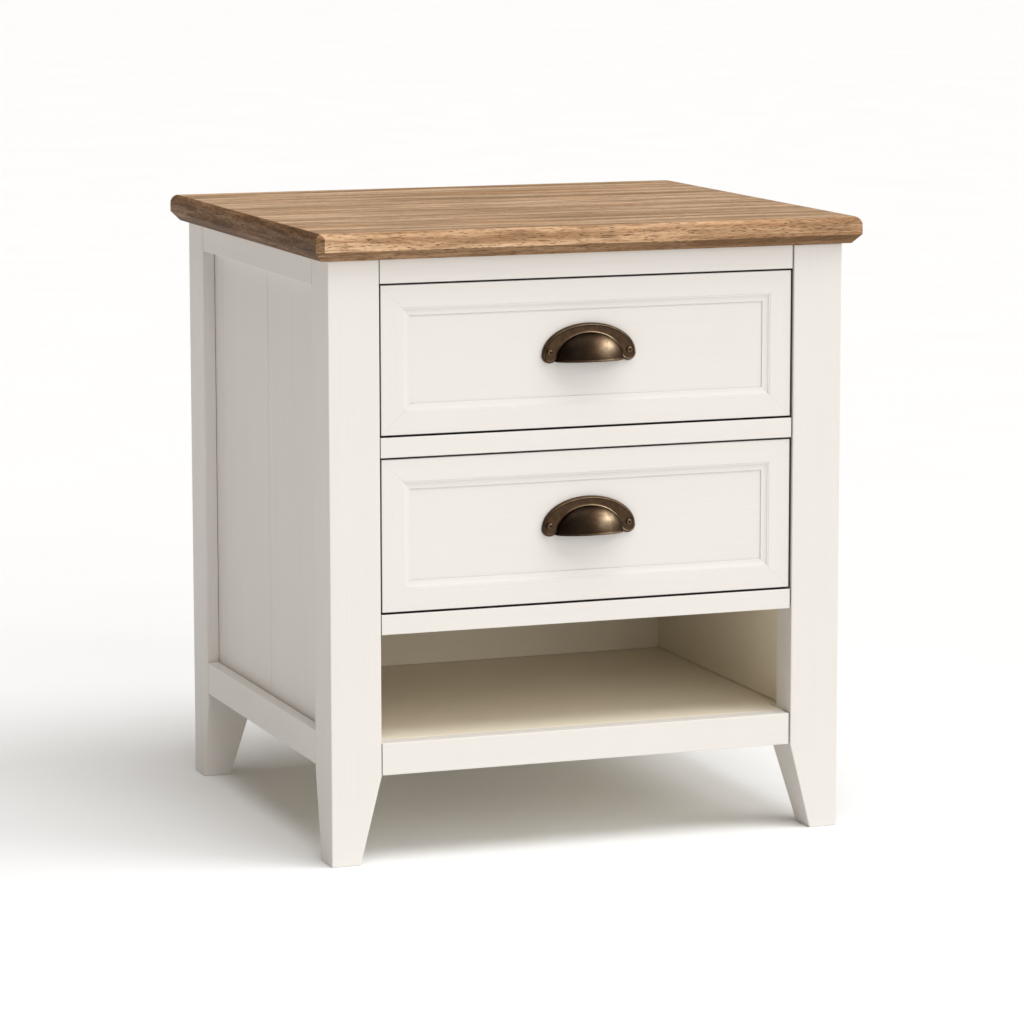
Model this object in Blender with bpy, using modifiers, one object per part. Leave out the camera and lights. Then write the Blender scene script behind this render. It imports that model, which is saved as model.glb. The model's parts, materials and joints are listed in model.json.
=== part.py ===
"""A two-drawer nightstand with an open shelf, built piece by piece as a joiner builds it.

Metres, +Z up. The front looks along -Y, +X is on the right seen from the front, and the origin
lies on the floor under the middle of the top. Every board, runner member, pull and screw is its own solid.
"""

import math

import bmesh
import bpy
from mathutils import Matrix

# Carcass
HALF_WIDTH = 0.286          # outer faces of the posts
HALF_DEPTH = 0.257
HEIGHT = 0.660
TOP_THICKNESS = 0.0285
POST = 0.055                # square section of a post
GAP = 0.0003                # between pieces that touch
EASE = 0.0012               # softened edge of a painted board

# Top
TOP_HALF_WIDTH = 0.303
TOP_HALF_DEPTH = 0.2715
TOP_ARC = (0.0057, 0.0090)      # inset and drop of the rounded upper edge
TOP_ARC_STEPS = 6
TOP_CHAMFER = (0.0087, 0.0099)  # inset and height of the chamfer under it

# Tapered feet, cut away on the two inner faces
TAPER_HEIGHT = 0.093
FOOT_WIDTH = 0.0315
FOOT_DEPTH = 0.037

# Front rails: bottom and top of each
RAIL_SETBACK = 0.0015       # rails behind the posts' front faces
RAIL_DEPTH = 0.020
FRONT_RAILS = {
    "front_top_rail": (0.6061, 0.6312),
    "front_middle_rail": (0.4261, 0.4472),
    "front_lower_rail": (0.2415, 0.2627),
    "shelf_front_rail": (0.0934, 0.1272),
}

# Sides
SIDE_SETBACK = 0.0008
SIDE_RAIL = 0.026
SIDE_TOP_RAIL_Z = (0.6018, 0.6312)
SIDE_LOWER_RAIL_Z = (0.0991, 0.1352)
PANEL_RECESS = 0.014
PANEL_THICKNESS = 0.008
PANEL_TONGUE = 0.006
PLANK_PITCH = 0.085
PLANK_GROOVES = {-2: 0.0010, -1: 0.0010, 0: 0.0018, 1: 0.0010, 2: 0.0010}   # depth of each V

# Inside of the carcass
REBATE = (0.020, 0.017)     # width and depth of the rebate in each front post
OVERCUT = 0.005             # how far a cutter runs past the face that it opens
WALL_THICKNESS = 0.0087     # side walls of the open shelf
SHELF_THICKNESS = 0.018
DIVIDER_Z = (0.2430, 0.2520)
INNER_BACK_Y = 0.148
INNER_BACK_THICKNESS = 0.006
REAR_PANEL_Y = (0.236, 0.245)

# Drawer fronts: four mitred members round a flat panel
DRAWERS = {"upper": (0.4492, 0.6041), "lower": (0.2647, 0.4241)}
DRAWER_HALF_WIDTH = 0.2287
DRAWER_SETBACK = 0.003      # drawer fronts behind the posts' front faces
FRAME_THICKNESS = 0.020
FRAME_FLAT = 0.0235
FRAME_MOULDING = 0.0084
FRAME_WIDTH = FRAME_FLAT + FRAME_MOULDING
FIELD_DEPTH = 0.0030        # face of the panel behind the face of the frame
FIELD_THICKNESS = 0.0082
FIELD_TONGUE = 0.0074

# Drawer boxes
BOX_HALF_WIDTH = 0.2179
BOX_BOARD = 0.012
BOX_BOTTOM = 0.006
BOX_BACK_Y = 0.120
BOX_RISE = 0.010            # bottom edge of the sides above the bottom of the front
BOX_HEIGHT = 0.125
BOTTOM_RISE = 0.008         # bottom panel above the sides' lower edge
BOX_GROOVE = 0.006

# Telescopic runners: height, wall and reach of the three nested channels
RUNNER_RISE = 0.060         # centre line above the bottom of the drawer front
RUNNER_Y = (-0.230, 0.120)
FIXED_MEMBER = {"x": (0.2193, 0.2307), "half_height": 0.0225, "web": "outer"}
MIDDLE_MEMBER = {"x": (0.2199, 0.2291), "half_height": 0.0206, "web": "outer"}
INNER_MEMBER = {"x": (0.2182, 0.2275), "half_height": 0.0187, "web": "inner"}
MEMBER_WALL = 0.0011

# Cup pulls
PULL_DROP = 0.0090          # lip below the middle of the drawer front
PULL_HALF_WIDTH = 0.0523
PULL_HEIGHT = 0.0397        # top of the plate above the lip
PULL_PLATE = 0.005
EAR_RADIUS = 0.0086
EAR_CENTRE = (0.0437, 0.0072)
CUP_HALF_WIDTH = 0.0385
CUP_HEIGHT = 0.0305
CUP_DEPTH = 0.0201
CUP_WALL = 0.0018
SCREW_SPACING = 0.0886
SCREW_HEIGHT = 0.0103       # screws above the lip
SCREW_HEAD_RADIUS = 0.0031
SCREW_HEAD = 0.0016
SCREW_RADIUS = 0.0015
SCREW_LENGTH = 0.0125
SCREW_TIP = 0.0030          # tapered end of the shank
SCREW_HOLE = 0.0018
HOLE_CUTTER = 0.030

# Derived places
POST_TOP = HEIGHT - TOP_THICKNESS - GAP
INNER_X = HALF_WIDTH - POST
INNER_Y = HALF_DEPTH - POST
RAIL_Y = -HALF_DEPTH + RAIL_SETBACK
RAIL_BACK_Y = RAIL_Y + RAIL_DEPTH
DRAWER_Y = -HALF_DEPTH + DRAWER_SETBACK
REBATE_X = INNER_X + REBATE[0]
REBATE_Y = -INNER_Y - REBATE[1]
WALL_X = REBATE_X - WALL_THICKNESS
SHELF_TOP = FRONT_RAILS["shelf_front_rail"][1]
FIELD_Y = DRAWER_Y + FIELD_DEPTH
PANEL_X = (HALF_WIDTH - PANEL_RECESS - PANEL_THICKNESS, HALF_WIDTH - PANEL_RECESS)

FINISHES = {
    "paint": ((0.86, 0.83, 0.77), 0.45, 0.0),
    "oak": ((0.45, 0.30, 0.18), 0.50, 0.0),
    "birch": ((0.72, 0.58, 0.40), 0.55, 0.0),
    "zinc": ((0.62, 0.63, 0.64), 0.35, 1.0),
    "bronze": ((0.16, 0.12, 0.08), 0.38, 1.0),
}


def clear_scene():
    for obj in list(bpy.data.objects):
        bpy.data.objects.remove(obj, do_unlink=True)


def make_collection(name):
    collection = bpy.data.collections.new(name)
    bpy.context.scene.collection.children.link(collection)
    return collection


def finish(obj, kind):
    """Give a piece its own Principled material."""
    colour, roughness, metallic = FINISHES[kind]
    material = bpy.data.materials.new(obj.name)
    material.use_nodes = True
    shader = material.node_tree.nodes["Principled BSDF"]
    shader.inputs["Base Color"].default_value = (*colour, 1.0)
    shader.inputs["Roughness"].default_value = roughness
    shader.inputs["Metallic"].default_value = metallic
    obj.data.materials.clear()
    obj.data.materials.append(material)


def add_object(name, mesh, collection, location=(0, 0, 0)):
    obj = bpy.data.objects.new(name, mesh)
    obj.location = location
    collection.objects.link(obj)
    return obj


def mesh_from(bm, name):
    bmesh.ops.recalc_face_normals(bm, faces=bm.faces)
    mesh = bpy.data.meshes.new(name)
    bm.to_mesh(mesh)
    bm.free()
    return mesh


def block_mesh(bm, size, centre=(0, 0, 0)):
    """Add a box of the given size to a bmesh."""
    made = bmesh.ops.create_cube(bm, size=1.0)
    bmesh.ops.scale(bm, vec=size, verts=made["verts"])
    bmesh.ops.translate(bm, vec=centre, verts=made["verts"])
    return made["verts"]


def box(name, x, y, z, collection=None):
    """A board between two limits on each axis, with its origin in its middle."""
    size = [high - low for low, high in (x, y, z)]
    centre = [(low + high) / 2 for low, high in (x, y, z)]
    bm = bmesh.new()
    block_mesh(bm, size)
    return add_object(name, mesh_from(bm, name), collection or parts, centre)


def mirrored(limits, side):
    """Limits on X for the right (+1) or left (-1) side, in rising order."""
    return tuple(sorted(side * value for value in limits))


def bevel(obj, width=EASE, segments=2):
    modifier = obj.modifiers.new("edge", "BEVEL")
    modifier.width = width
    modifier.segments = segments
    modifier.limit_method = "ANGLE"
    modifier.angle_limit = math.radians(25)


def boolean(obj, tool, operation="DIFFERENCE"):
    modifier = obj.modifiers.new(tool.name, "BOOLEAN")
    modifier.operation = operation
    modifier.solver = "EXACT"
    modifier.object = tool


def as_cutter(obj):
    obj.hide_render = True
    obj.display_type = "WIRE"
    return obj


def cut(obj, label, x, y, z):
    """Cut a box-shaped groove, rebate or notch."""
    boolean(obj, as_cutter(box(f"cut_{obj.name}_{label}", x, y, z, cutters)))


def bake(obj):
    """Freeze an object's modifiers into its mesh."""
    depsgraph = bpy.context.evaluated_depsgraph_get()
    mesh = bpy.data.meshes.new_from_object(obj.evaluated_get(depsgraph))
    obj.modifiers.clear()
    obj.data = mesh
    return obj


# ---------------------------------------------------------------- carcass


def top_profile():
    """Edge of the top from its underside up: inset from the widest outline, and height."""
    inset, drop = TOP_ARC
    turn = 2 * math.atan(inset / drop)
    radius = drop / math.sin(turn)
    points = [(TOP_CHAMFER[0], 0.0), (0.0, TOP_CHAMFER[1])]
    for step in range(TOP_ARC_STEPS + 1):
        angle = turn * step / TOP_ARC_STEPS
        rise = TOP_THICKNESS - drop + radius * math.sin(angle)
        points.append((radius * (1 - math.cos(angle)), rise))
    return points


def make_top():
    """A board with a soft arc round its upper edge and a chamfer round its lower one."""
    bm = bmesh.new()
    rings = []
    for inset, height in top_profile():
        x, y = TOP_HALF_WIDTH - inset, TOP_HALF_DEPTH - inset
        corners = ((-x, -y), (x, -y), (x, y), (-x, y))
        rings.append([bm.verts.new((*corner, height)) for corner in corners])
    for below, above in zip(rings, rings[1:]):
        for i in range(4):
            k = (i + 1) % 4
            bm.faces.new((below[i], below[k], above[k], above[i]))
    bm.faces.new(rings[0])
    bm.faces.new(rings[-1])
    top = add_object("top", mesh_from(bm, "top"), parts, (0, 0, HEIGHT - TOP_THICKNESS))
    finish(top, "oak")


def make_post(name, side, end):
    """A square post whose foot tapers on the two faces that look inwards."""
    bm = bmesh.new()
    corner_x, corner_y = side * HALF_WIDTH, end * HALF_DEPTH
    centre = (corner_x - side * POST / 2, corner_y - end * POST / 2, POST_TOP / 2)
    block_mesh(bm, (POST, POST, POST_TOP), centre)
    everything = bm.verts[:] + bm.edges[:] + bm.faces[:]
    bmesh.ops.bisect_plane(bm, geom=everything, plane_co=(0, 0, TAPER_HEIGHT), plane_no=(0, 0, 1))
    for vert in bm.verts:
        if vert.co.z > TAPER_HEIGHT / 2:
            continue
        if abs(vert.co.x - corner_x) > POST / 2:
            vert.co.x = corner_x - side * FOOT_WIDTH
        if abs(vert.co.y - corner_y) > POST / 2:
            vert.co.y = corner_y - end * FOOT_DEPTH
    post = add_object(name, mesh_from(bm, name), parts)
    bevel(post)
    slot_x = mirrored((PANEL_X[0] - GAP, PANEL_X[1] + GAP), side)
    slot_y = sorted((end * (INNER_Y - PANEL_TONGUE), end * (INNER_Y + PANEL_TONGUE)))
    slot_z = (SIDE_LOWER_RAIL_Z[1] - PANEL_TONGUE, SIDE_TOP_RAIL_Z[0] + PANEL_TONGUE)
    cut(post, "slot", slot_x, slot_y, slot_z)
    if end < 0:
        rebate_x = mirrored((INNER_X - OVERCUT, REBATE_X), side)
        rebate_z = (SHELF_TOP + GAP, HEIGHT)
        cut(post, "rebate", rebate_x, (REBATE_Y, REBATE_Y + 2 * REBATE[1]), rebate_z)
    finish(post, "paint")


def make_front_rails():
    for name, limits in FRONT_RAILS.items():
        rail = box(name, (-INNER_X + GAP, INNER_X - GAP), (RAIL_Y, RAIL_BACK_Y), limits)
        bevel(rail)
        finish(rail, "paint")


def make_side(word, side):
    """One side frame: two rails between the posts and a planked panel in their grooves."""
    rail_x = mirrored((HALF_WIDTH - SIDE_SETBACK - SIDE_RAIL, HALF_WIDTH - SIDE_SETBACK), side)
    rail_y = (-INNER_Y + GAP, INNER_Y - GAP)
    slot_x = mirrored((PANEL_X[0] - GAP, PANEL_X[1] + GAP), side)
    long_y = (-HALF_DEPTH, HALF_DEPTH)
    top_rail = box(f"{word}_side_top_rail", rail_x, rail_y, SIDE_TOP_RAIL_Z)
    low_rail = box(f"{word}_side_lower_rail", rail_x, rail_y, SIDE_LOWER_RAIL_Z)
    top_edge, low_edge = SIDE_TOP_RAIL_Z[0], SIDE_LOWER_RAIL_Z[1]
    for rail, edge in ((top_rail, top_edge), (low_rail, low_edge)):
        bevel(rail)
        cut(rail, "slot", slot_x, long_y, (edge - PANEL_TONGUE, edge + PANEL_TONGUE))
        finish(rail, "paint")
    reach = PANEL_TONGUE - GAP
    panel_y = (-INNER_Y - reach, INNER_Y + reach)
    panel = box(f"{word}_side_panel", mirrored(PANEL_X, side), panel_y, (low_edge - reach, top_edge + reach))
    boolean(panel, plank_grooves(word, side))
    finish(panel, "paint")


def plank_grooves(word, side):
    """Square bars set on edge, one for each V groove between planks."""
    bm = bmesh.new()
    for step, depth in PLANK_GROOVES.items():
        bar = depth * math.sqrt(2)
        verts = block_mesh(bm, (bar, bar, HEIGHT))
        bmesh.ops.rotate(bm, verts=verts, matrix=Matrix.Rotation(math.radians(45), 3, "Z"))
        bmesh.ops.translate(bm, verts=verts, vec=(side * PANEL_X[1], step * PLANK_PITCH, HEIGHT / 2))
    name = f"cut_{word}_plank_grooves"
    return as_cutter(add_object(name, mesh_from(bm, name), cutters))


def make_shelf():
    """The shelf is also the carcass bottom, notched round the four posts."""
    rail_inner_x = HALF_WIDTH - SIDE_SETBACK - SIDE_RAIL
    y_limits = (RAIL_BACK_Y + GAP, REAR_PANEL_Y[0] - GAP)
    z_limits = (SHELF_TOP - SHELF_THICKNESS, SHELF_TOP)
    shelf = box("shelf", (-rail_inner_x + GAP, rail_inner_x - GAP), y_limits, z_limits)
    for side in (-1, 1):
        notch_x = mirrored((INNER_X - GAP, HALF_WIDTH), side)
        for end in (-1, 1):
            notch_y = sorted((end * (INNER_Y - GAP), end * HALF_DEPTH))
            cut(shelf, f"notch_{side}_{end}", notch_x, notch_y, (0, SHELF_TOP + TOP_THICKNESS))
    finish(shelf, "paint")


def make_divider():
    """The board between the lower drawer and the open shelf."""
    reach = REBATE_X - GAP
    y_limits = (RAIL_BACK_Y + GAP, INNER_BACK_Y - GAP)
    divider = box("shelf_ceiling", (-reach, reach), y_limits, DIVIDER_Z)
    for side in (-1, 1):
        notch_x = mirrored((INNER_X - GAP, HALF_WIDTH), side)
        cut(divider, f"notch_{side}", notch_x, (-HALF_DEPTH, REBATE_Y + GAP), (0, HEIGHT))
    finish(divider, "paint")


def make_inner_walls(word, side):
    """The shelf's side wall, and the thicker board above it that carries the runners."""
    y_limits = (REBATE_Y + GAP, INNER_BACK_Y - GAP)
    wall_x = mirrored((WALL_X, REBATE_X - GAP), side)
    wall = box(f"{word}_shelf_wall", wall_x, y_limits, (SHELF_TOP + 2 * GAP, DIVIDER_Z[0] - GAP))
    finish(wall, "paint")
    board_x = mirrored((INNER_X, REBATE_X - GAP), side)
    board = box(f"{word}_runner_board", board_x, y_limits, (DIVIDER_Z[1] + GAP, POST_TOP))
    finish(board, "birch")


def make_backs():
    reach = REBATE_X - GAP
    y_limits = (INNER_BACK_Y, INNER_BACK_Y + INNER_BACK_THICKNESS)
    inner = box("shelf_back", (-reach, reach), y_limits, (SHELF_TOP + GAP, POST_TOP))
    finish(inner, "paint")
    z_limits = (SIDE_LOWER_RAIL_Z[0], POST_TOP)
    rear = box("rear_panel", (-INNER_X + GAP, INNER_X - GAP), REAR_PANEL_Y, z_limits)
    bevel(rear)
    finish(rear, "paint")


# ---------------------------------------------------------------- drawers


def frame_profile():
    """Section of a drawer-front member: inwards across the face, and back from it."""
    groove = FRAME_WIDTH - FIELD_TONGUE - GAP
    groove_front = FIELD_DEPTH - GAP
    groove_back = FIELD_DEPTH + FIELD_THICKNESS + GAP
    return [
        (0.0, 0.0),
        (FRAME_FLAT, 0.0),
        (FRAME_FLAT, 0.0007),
        (FRAME_FLAT + 0.0024, 0.0007),
        (FRAME_FLAT + 0.0024, 0.0012),
        (FRAME_WIDTH - 0.0008, 0.0023),
        (FRAME_WIDTH, 0.0023),
        (FRAME_WIDTH, groove_front),
        (groove, groove_front),
        (groove, groove_back),
        (FRAME_WIDTH, groove_back),
        (FRAME_WIDTH, FRAME_THICKNESS),
        (0.0, FRAME_THICKNESS),
    ]


def mitred_member(name, half_length, outer_edge, angle, centre_z):
    """Sweep the frame section along X, mitre both ends, then turn it about the front's middle."""
    bm = bmesh.new()
    ends = []
    for end in (-1, 1):
        ring = []
        for inward, depth in frame_profile():
            x = end * (half_length - inward - GAP / 2)
            ring.append(bm.verts.new((x, depth, inward - outer_edge)))
        ends.append(ring)
        bm.faces.new(ring)
    bmesh.ops.bridge_loops(bm, edges=[e for ring in ends for e in ring_edges(ring)])
    bmesh.ops.rotate(bm, verts=bm.verts, matrix=Matrix.Rotation(angle, 3, "Y"))
    member = add_object(name, mesh_from(bm, name), parts, (0, DRAWER_Y, centre_z))
    finish(member, "paint")
    return member


def ring_edges(ring):
    return {edge for vert in ring for edge in vert.link_edges}


def make_drawer_front(word, limits):
    centre_z = (limits[0] + limits[1]) / 2
    half_height = (limits[1] - limits[0]) / 2
    members = [
        ("bottom", DRAWER_HALF_WIDTH, half_height, 0),
        ("left", half_height, DRAWER_HALF_WIDTH, 90),
        ("top", DRAWER_HALF_WIDTH, half_height, 180),
        ("right", half_height, DRAWER_HALF_WIDTH, 270),
    ]
    pieces = []
    for place, half_length, outer_edge, turn in members:
        name = f"{word}_front_{place}"
        pieces.append(mitred_member(name, half_length, outer_edge, math.radians(turn), centre_z))
    reach = FIELD_TONGUE - FRAME_WIDTH
    half_x, half_z = DRAWER_HALF_WIDTH + reach, half_height + reach
    field_y = (FIELD_Y, FIELD_Y + FIELD_THICKNESS)
    field_z = (centre_z - half_z, centre_z + half_z)
    field = box(f"{word}_front_panel", (-half_x, half_x), field_y, field_z)
    for side in (-1, 1):
        hole_z = centre_z - PULL_DROP + SCREW_HEIGHT
        boolean(field, hole_cutter(f"{word}_panel_{side}", side * SCREW_SPACING / 2, hole_z))
    finish(field, "paint")
    return pieces + [field]


def make_drawer_box(word, floor):
    """Two sides, a back and a bottom let into grooves in the sides."""
    low = floor + BOX_RISE
    bottom_z = (low + BOTTOM_RISE, low + BOTTOM_RISE + BOX_BOTTOM)
    inner_x = BOX_HALF_WIDTH - BOX_BOARD
    front_y = DRAWER_Y + FRAME_THICKNESS + GAP
    pieces = []
    for name, side in (("left", -1), ("right", 1)):
        board_x = mirrored((inner_x, BOX_HALF_WIDTH), side)
        board = box(f"{word}_box_{name}", board_x, (front_y, BOX_BACK_Y), (low, low + BOX_HEIGHT))
        groove_x = mirrored((inner_x - BOX_GROOVE, inner_x + BOX_GROOVE), side)
        groove_z = (bottom_z[0] - GAP, bottom_z[1] + GAP)
        bevel(board, EASE)
        cut(board, "groove", groove_x, (-HALF_DEPTH, HALF_DEPTH), groove_z)
        pieces.append(board)
    back_y = (BOX_BACK_Y - BOX_BOARD, BOX_BACK_Y)
    back_z = (bottom_z[1] + GAP, low + BOX_HEIGHT)
    pieces.append(box(f"{word}_box_back", (-inner_x + GAP, inner_x - GAP), back_y, back_z))
    reach = inner_x + BOX_GROOVE - GAP
    pieces.append(box(f"{word}_box_bottom", (-reach, reach), (front_y, BOX_BACK_Y), bottom_z))
    for piece in pieces:
        finish(piece, "birch")
    return pieces


def make_channel(name, member, side, centre_z):
    """One runner member: a channel along Y, open towards the drawer or towards the carcass."""
    z_limits = (centre_z - member["half_height"], centre_z + member["half_height"])
    near, far = member["x"]
    channel = box(name, mirrored((near, far), side), RUNNER_Y, z_limits)
    if member["web"] == "outer":
        hollow_x = (near - MEMBER_WALL, far - MEMBER_WALL)
    else:
        hollow_x = (near + MEMBER_WALL, far + MEMBER_WALL)
    hollow_z = (z_limits[0] + MEMBER_WALL, z_limits[1] - MEMBER_WALL)
    cut(channel, "hollow", mirrored(hollow_x, side), (-HALF_DEPTH, HALF_DEPTH), hollow_z)
    finish(channel, "zinc")
    return channel


# ---------------------------------------------------------------- pulls


def pull_outline():
    """Half of the back plate, from the top of the rim down round one ear to the lip."""
    rise = PULL_HEIGHT - EAR_CENTRE[1]
    points = []
    for step in range(13):
        angle = math.radians(90 - step * 7.0)
        points.append((PULL_HALF_WIDTH * math.cos(angle), EAR_CENTRE[1] + rise * math.sin(angle)))
    for step in range(7):
        angle = math.radians(-15 - step * 20)
        x = EAR_CENTRE[0] + EAR_RADIUS * math.cos(angle)
        points.append((x, EAR_CENTRE[1] + EAR_RADIUS * math.sin(angle)))
    return points


def make_plate(name, centre_z):
    """The pull's back plate: its outline as a filled curve, made into a mesh."""
    half = pull_outline()
    outline = half + [(-x, z) for x, z in reversed(half[1:])]
    curve = bpy.data.curves.new(name, "CURVE")
    curve.dimensions = "2D"
    curve.fill_mode = "BOTH"
    curve.extrude = PULL_PLATE / 2
    spline = curve.splines.new("POLY")
    spline.points.add(len(outline) - 1)
    for point, (x, z) in zip(spline.points, outline):
        point.co = (x, z, 0.0, 1.0)
    spline.use_cyclic_u = True
    flat = add_object(name, curve, parts)
    depsgraph = bpy.context.evaluated_depsgraph_get()
    source = bpy.data.meshes.new_from_object(flat.evaluated_get(depsgraph))
    bpy.data.objects.remove(flat, do_unlink=True)
    bm = bmesh.new()
    bm.from_mesh(source)
    bmesh.ops.remove_doubles(bm, verts=bm.verts, dist=1e-6)
    bmesh.ops.rotate(bm, verts=bm.verts, matrix=Matrix.Rotation(math.radians(90), 3, "X"))
    place = (0, FIELD_Y - GAP - PULL_PLATE / 2, centre_z - PULL_DROP)
    return add_object(name, mesh_from(bm, name), parts, place)


def ellipsoid(name, radii, location):
    bm = bmesh.new()
    bmesh.ops.create_uvsphere(bm, u_segments=28, v_segments=18, radius=1.0)
    bmesh.ops.scale(bm, vec=radii, verts=bm.verts)
    return as_cutter(add_object(name, mesh_from(bm, name), cutters, location))


def hole_cutter(label, x, z):
    """A round bar through a pull's screw hole."""
    bm = bmesh.new()
    bmesh.ops.create_cone(
        bm, cap_ends=True, segments=16, radius1=SCREW_HOLE, radius2=SCREW_HOLE, depth=HOLE_CUTTER
    )
    bmesh.ops.rotate(bm, verts=bm.verts, matrix=Matrix.Rotation(math.radians(90), 3, "X"))
    name = f"cut_hole_{label}"
    return as_cutter(add_object(name, mesh_from(bm, name), cutters, (x, FIELD_Y, z)))


def make_pull(word, centre_z):
    """A cup pull: a thick back plate with two ears and a hollow quarter-dome open below."""
    lip = centre_z - PULL_DROP
    back_y = FIELD_Y - GAP
    pull = make_plate(f"{word}_pull", centre_z)
    place = (0, back_y, lip)
    outer = (CUP_HALF_WIDTH, CUP_DEPTH, CUP_HEIGHT)
    inner = tuple(radius - CUP_WALL for radius in outer)
    wide = (-PULL_HALF_WIDTH * 2, PULL_HALF_WIDTH * 2)
    room = 2 * PULL_HEIGHT
    dome = ellipsoid(f"cup_{word}_outer", outer, (0, 0, 0))
    cut(dome, "below", wide, (-room, room), (-room, 0))
    bake(dome)
    dome.location = place
    boolean(pull, dome, "UNION")
    boolean(pull, ellipsoid(f"cut_{word}_cup", inner, place))
    cut(pull, "behind", wide, (back_y, back_y + room), (lip - room, lip + room))
    for side in (-1, 1):
        x = side * SCREW_SPACING / 2
        boolean(pull, hole_cutter(f"{word}_plate_{side}", x, lip + SCREW_HEIGHT))
    finish(pull, "bronze")
    return pull


def screw_profile():
    """Half section of a round-headed screw, down its outer side from the head to the point."""
    points = [(0.0, SCREW_HEAD)]
    for step in range(1, 5):
        angle = math.radians(22.5 * step)
        points.append((SCREW_HEAD_RADIUS * math.sin(angle), SCREW_HEAD * math.cos(angle)))
    points.append((SCREW_RADIUS, 0.0))
    points.append((SCREW_RADIUS, SCREW_TIP - SCREW_LENGTH))
    points.append((0.0, -SCREW_LENGTH))
    return points


def make_screw(name, x, z):
    points = screw_profile()
    mesh = bpy.data.meshes.new(name)
    mesh.from_pydata([(r, 0.0, h) for r, h in points], [(i, i + 1) for i in range(len(points) - 1)], [])
    plate_front = FIELD_Y - GAP - PULL_PLATE
    screw = add_object(name, mesh, parts, (x, plate_front - GAP, z))
    screw.rotation_euler = (math.radians(90), 0, 0)
    turn = screw.modifiers.new("turn", "SCREW")
    turn.axis = "Z"
    turn.steps = 16
    turn.render_steps = 16
    turn.use_merge_vertices = True
    turn.merge_threshold = 0.00001
    turn.use_smooth_shade = True
    finish(screw, "bronze")
    return screw


# ---------------------------------------------------------------- assembly


def carry(name, pieces, height):
    """Parent a moving group to an empty that stands on its slide axis."""
    carrier = bpy.data.objects.new(name, None)
    carrier.location = (0, DRAWER_Y, height)
    parts.objects.link(carrier)
    for piece in pieces:
        piece.parent = carrier
        piece.matrix_parent_inverse = Matrix.Translation(-carrier.location)


def make_drawer(word, limits):
    centre_z = (limits[0] + limits[1]) / 2
    runner_z = limits[0] + RUNNER_RISE
    moving = make_drawer_front(word, limits)
    moving += make_drawer_box(word, limits[0])
    moving.append(make_pull(word, centre_z))
    middles = []
    for name, side in (("left", -1), ("right", 1)):
        screw_z = centre_z - PULL_DROP + SCREW_HEIGHT
        moving.append(make_screw(f"{word}_screw_{name}", side * SCREW_SPACING / 2, screw_z))
        moving.append(make_channel(f"{word}_runner_inner_{name}", INNER_MEMBER, side, runner_z))
        middles.append(make_channel(f"{word}_runner_middle_{name}", MIDDLE_MEMBER, side, runner_z))
        make_channel(f"{word}_runner_fixed_{name}", FIXED_MEMBER, side, runner_z)
    carry(f"{word}_drawer_axis", moving, centre_z)
    carry(f"{word}_middle_axis", middles, runner_z)


def make_carcass():
    make_top()
    for front_word, end in (("front", -1), ("rear", 1)):
        for side_word, side in (("left", -1), ("right", 1)):
            make_post(f"post_{front_word}_{side_word}", side, end)
    make_front_rails()
    for word, side in (("left", -1), ("right", 1)):
        make_side(word, side)
        make_inner_walls(word, side)
    make_shelf()
    make_divider()
    make_backs()


clear_scene()
parts = make_collection("nightstand")
cutters = make_collection("cutters")
make_carcass()
for drawer_word, drawer_limits in DRAWERS.items():
    make_drawer(drawer_word, drawer_limits)
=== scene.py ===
"""Looks of a two-drawer nightstand: fine meshes and procedural finishes round the fixed CAD frame.

Metres, +Z up, front towards -Y. Every board gets a point attribute "grain", its own coordinates
with the first one running along the wood, so that one paint or oak material fits every board.
"""

import json
import math
import random

import bmesh
import bpy
from mathutils import Matrix, Quaternion, Vector


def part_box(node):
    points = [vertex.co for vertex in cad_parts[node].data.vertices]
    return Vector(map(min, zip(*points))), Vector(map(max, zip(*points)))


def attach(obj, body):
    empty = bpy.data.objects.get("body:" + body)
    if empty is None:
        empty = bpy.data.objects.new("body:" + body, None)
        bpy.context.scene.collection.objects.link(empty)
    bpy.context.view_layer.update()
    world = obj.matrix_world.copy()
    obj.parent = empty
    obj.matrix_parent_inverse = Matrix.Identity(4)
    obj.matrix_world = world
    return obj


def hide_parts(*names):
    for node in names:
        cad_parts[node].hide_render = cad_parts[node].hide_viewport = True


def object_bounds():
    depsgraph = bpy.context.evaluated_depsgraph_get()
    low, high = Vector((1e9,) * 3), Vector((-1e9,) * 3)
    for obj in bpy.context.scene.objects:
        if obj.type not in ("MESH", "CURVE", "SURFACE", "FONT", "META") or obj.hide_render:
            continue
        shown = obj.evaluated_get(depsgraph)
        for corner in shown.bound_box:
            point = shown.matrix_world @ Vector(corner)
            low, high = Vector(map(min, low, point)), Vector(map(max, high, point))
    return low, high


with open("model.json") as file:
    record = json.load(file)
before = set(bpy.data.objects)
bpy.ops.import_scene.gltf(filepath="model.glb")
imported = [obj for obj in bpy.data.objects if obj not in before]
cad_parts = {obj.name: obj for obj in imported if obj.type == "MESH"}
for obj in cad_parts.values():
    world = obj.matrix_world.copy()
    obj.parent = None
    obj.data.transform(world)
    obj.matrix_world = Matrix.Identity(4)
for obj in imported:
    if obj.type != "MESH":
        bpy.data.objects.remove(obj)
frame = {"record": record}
CAD_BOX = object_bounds()

MM = 0.001
SIDES = (("left", -1), ("right", 1))
ENDS = (("front", -1), ("rear", 1))
DRAWERS = ("upper", "lower")

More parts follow.
